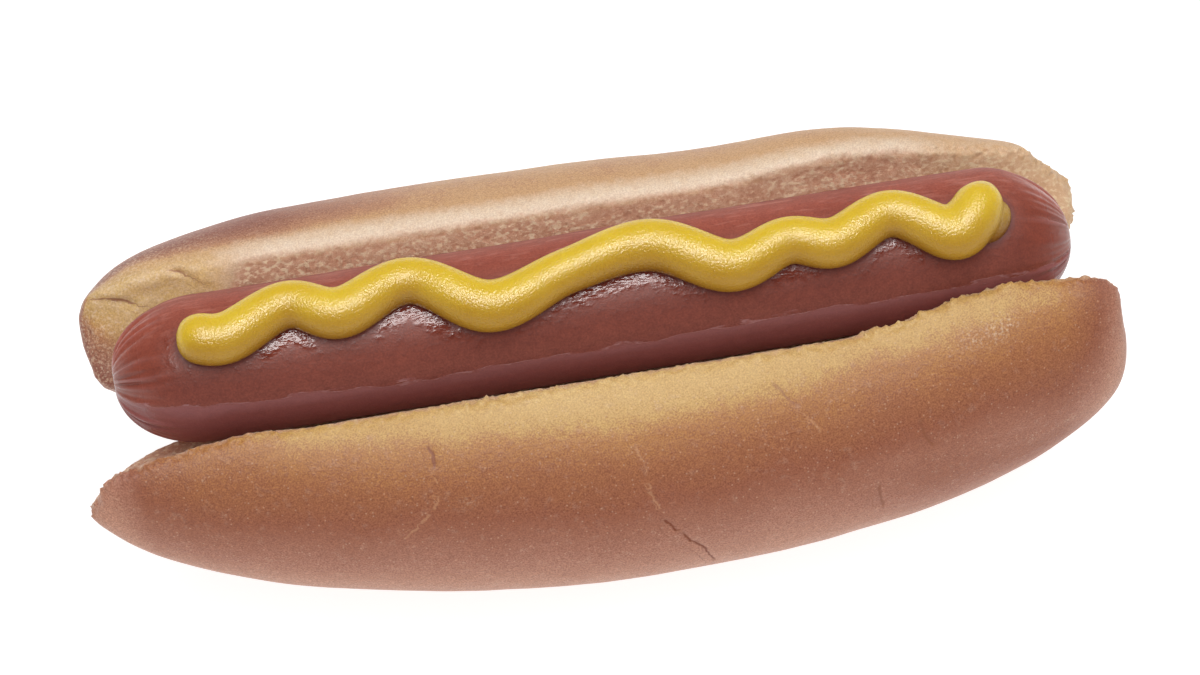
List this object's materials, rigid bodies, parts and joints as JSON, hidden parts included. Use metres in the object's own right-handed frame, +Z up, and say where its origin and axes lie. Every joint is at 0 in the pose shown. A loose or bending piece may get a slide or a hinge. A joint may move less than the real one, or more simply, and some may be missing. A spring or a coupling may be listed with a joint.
{
  "type": "hot dog",
  "caption": "Frankfurter in a top-cut soft roll with a wavy bead of mustard along the top.",
  "frame": {"origin": "on the surface that it rests on, under the middle of the roll, in the plane where its halves meet", "axes": "+X along the roll, +Y towards the back half, whose crumb face shows, +Z up"},
  "size_m": [0.1542, 0.0681, 0.0582],
  "materials": {
    "bread": "soft baked crust, pale beside the cut and brown below, with torn pale crumb inside",
    "sausage_skin": "thin moist casing with a satin shine",
    "mustard": "smooth wet paste"
  },
  "bodies": {
    "root": {"roll": "bread", "frankfurter": "sausage_skin", "mustard": "mustard"}
  },
  "joints": []
}
